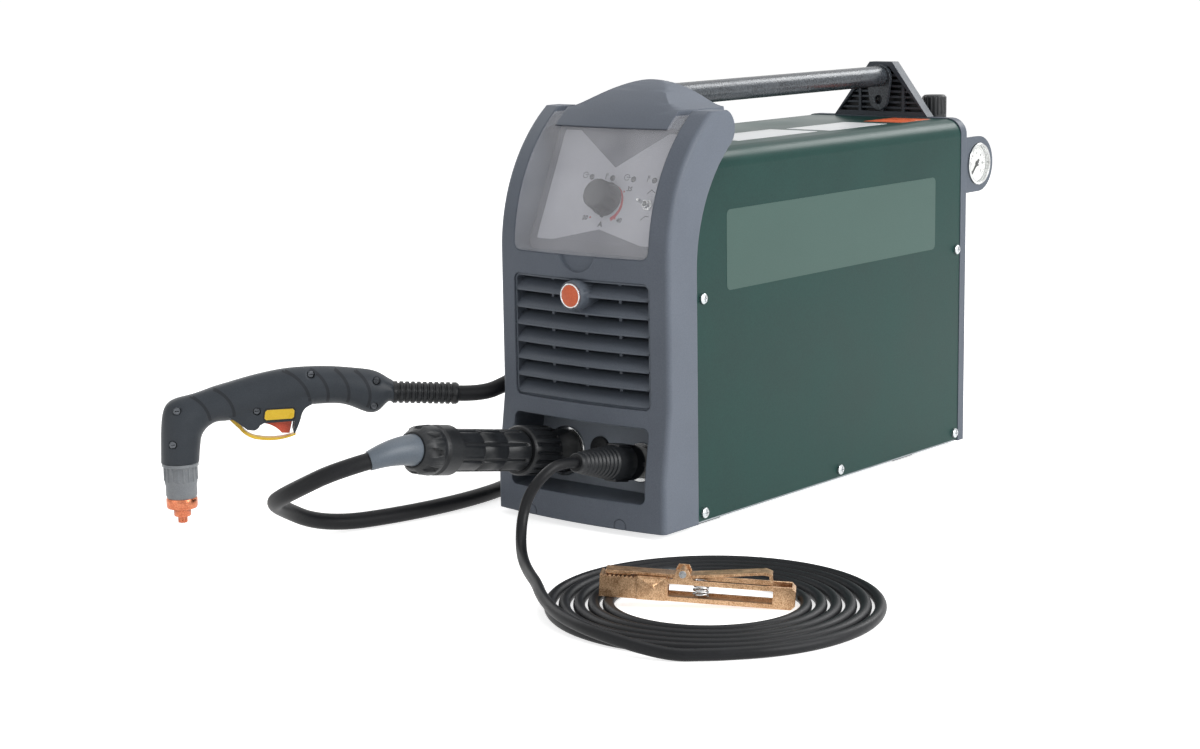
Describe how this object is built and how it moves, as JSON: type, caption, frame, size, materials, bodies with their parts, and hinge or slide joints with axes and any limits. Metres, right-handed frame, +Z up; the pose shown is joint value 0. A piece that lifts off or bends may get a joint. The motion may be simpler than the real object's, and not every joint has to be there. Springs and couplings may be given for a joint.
{
  "type": "plasma cutter",
  "caption": "Portable plasma cutter: upright case with louvred bezel, flip-up panel window and carrying handle, hand torch on its lead, and a work lead with spring clamp.",
  "frame": {"origin": "centre of the power unit's base, on the floor that its rubber feet stand on", "axes": "+X to the unit's right as seen from its front, +Y to its rear, +Z up; the front bezel faces -Y"},
  "size_m": [0.6987, 0.8149, 0.377],
  "materials": {
    "bezel_plastic": "fine textured moulding",
    "grille_plastic": "fine textured moulding",
    "badge": "plain disc",
    "smoked_window": "smoked, clear",
    "pin_steel": "ground",
    "panel": "satin",
    "lamp": "clear lens",
    "knob": "moulded",
    "switch": "moulded",
    "toggle_steel": "polished",
    "plate_plastic": "moulded",
    "socket_metal": "machined",
    "cap_rubber": "moulded",
    "case_green": "satin powder coat",
    "screw_steel": "zinc plated",
    "tray_steel": "powder coat",
    "foot_rubber": "moulded",
    "frame_grey": "powder coat",
    "fan_plastic": "moulded",
    "rocker": "moulded",
    "sink_aluminium": "extruded",
    "board": "coated board with its parts",
    "handle_steel": "hammered paint",
    "bracket_alloy": "satin",
    "regulator_alloy": "cast",
    "bowl_clear": "clear",
    "gauge_metal": "bright rim, white dial",
    "needle": "black",
    "lens_glass": "clear",
    "torch_plastic": "fine textured moulding",
    "torch_cap_plastic": "moulded",
    "copper": "turned copper",
    "trigger_plastic": "moulded",
    "safety_plastic": "moulded",
    "cable_rubber": "extruded",
    "relief_rubber": "moulded",
    "plug_plastic": "moulded",
    "clamp_brass": "plated sheet"
  },
  "bodies": {
    "unit": {"front_bezel": "bezel_plastic", "front_grille": "grille_plastic", "badge_disc": "badge", "window_pins": "pin_steel", "control_panel": "panel", "panel_lamps": "lamp", "mode_switch": "switch", "socket_plate": "plate_plastic", "torch_socket": "socket_metal", "work_socket": "socket_metal", "remote_cap": "cap_rubber", "side_cover": "case_green", "case_screws": "screw_steel", "base_tray": "tray_steel", "rubber_feet": "foot_rubber", "rear_frame": "frame_grey", "rear_panel": "frame_grey", "fan_frame": "fan_plastic", "mains_switch": "switch", "mains_gland": "switch", "heat_sink": "sink_aluminium", "power_board": "board", "rear_bracket": "bracket_alloy", "handle_tube": "handle_steel", "handle_lug": "handle_steel", "regulator_body": "regulator_alloy", "regulator_bowl": "bowl_clear", "gauge_cheek": "frame_grey", "gauge_case": "gauge_metal", "gauge_lens": "lens_glass", "torch_shell_left": "torch_plastic", "torch_shell_right": "torch_plastic", "torch_cap": "torch_cap_plastic", "torch_tip": "copper", "torch_screws": "screw_steel", "torch_relief": "relief_rubber", "plug_body": "plug_plastic", "plug_nut": "plug_plastic", "plug_relief": "relief_rubber", "torch_lead_front": "cable_rubber", "torch_lead_coil": "cable_rubber", "torch_lead_rear": "cable_rubber", "work_lead": "cable_rubber", "work_coil": "cable_rubber", "work_tail": "cable_rubber", "clamp_frame": "clamp_brass", "clamp_pin": "pin_steel", "clamp_spring": "screw_steel"},
    "window": {"window_cover": "smoked_window"},
    "knob": {"current_knob": "knob"},
    "toggle": {"mode_toggle": "toggle_steel"},
    "rotor": {"fan_rotor": "fan_plastic"},
    "rocker": {"mains_rocker": "rocker"},
    "air_knob": {"regulator_knob": "knob"},
    "needle": {"gauge_needle": "needle"},
    "trigger": {"torch_trigger": "trigger_plastic"},
    "safety": {"torch_safety": "safety_plastic"},
    "ring": {"plug_ring": "plug_plastic"},
    "work_connector": {"work_plug": "relief_rubber"},
    "lever": {"clamp_lever": "clamp_brass"}
  },
  "joints": [
    {"name": "window_hinge", "type": "hinge", "parent": "unit", "child": "window", "pos_m": [0, -0.152, 0.3485], "axis": [-1, 0, 0], "range_deg": [0, 95]},
    {"name": "current_knob_turn", "type": "hinge", "parent": "unit", "child": "knob", "pos_m": [0, -0.1991, 0.2778], "axis": [0, -0.9078, 0.4194], "range_deg": [-270, 0]},
    {"name": "mode_toggle_tilt", "type": "hinge", "parent": "unit", "child": "toggle", "pos_m": [0.0455, -0.20217, 0.27592], "axis": [1, 0, 0], "range_deg": [-12, 12]},
    {"name": "fan_spin", "type": "hinge", "parent": "unit", "child": "rotor", "pos_m": [-0.02, 0.215, 0.095], "axis": [0, 1, 0], "continuous": true},
    {"name": "mains_rocker_tilt", "type": "hinge", "parent": "unit", "child": "rocker", "pos_m": [0.058, 0.2275, 0.096], "axis": [1, 0, 0], "range_deg": [-6, 6]},
    {"name": "air_pressure_turn", "type": "hinge", "parent": "unit", "child": "air_knob", "pos_m": [0.04, 0.268, 0.33], "axis": [0, 0, 1], "range_deg": [-360, 360]},
    {"name": "gauge_needle_turn", "type": "hinge", "parent": "unit", "child": "needle", "pos_m": [0.088, 0.268, 0.2766], "axis": [1, 0, 0], "range_deg": [-270, 0]},
    {"name": "trigger_pull", "type": "hinge", "parent": "unit", "child": "trigger", "pos_m": [-0.24254, -0.37655, 0.0925], "axis": [-0.7651, 0.6439, 0], "range_deg": [-7, 0], "stiffness_Nm_per_rad": 0.6, "springref_deg": 2.86},
    {"name": "safety_swing", "type": "hinge", "parent": "unit", "child": "safety", "pos_m": [-0.26282, -0.40066, 0.0918], "axis": [-0.7651, 0.6439, 0], "range_deg": [0, 40], "stiffness_Nm_per_rad": 0.15, "springref_deg": -5.73},
    {"name": "plug_ring_spin", "type": "hinge", "parent": "unit", "child": "ring", "pos_m": [-0.045, -0.23554, 0.05971], "axis": [0, -0.9848, 0.1736], "continuous": true},
    {"name": "work_plug_twist", "type": "hinge", "parent": "unit", "child": "work_connector", "pos_m": [0.04, -0.23554, 0.05971], "axis": [0, -0.9848, 0.1736], "range_deg": [-90, 0]},
    {"name": "clamp_lever_open", "type": "hinge", "parent": "unit", "child": "lever", "pos_m": [0.22381, -0.38978, 0.02705], "axis": [-0.5505, 0.8348, 0], "range_deg": [0, 7], "stiffness_Nm_per_rad": 2, "springref_deg": -11.46}
  ]
}
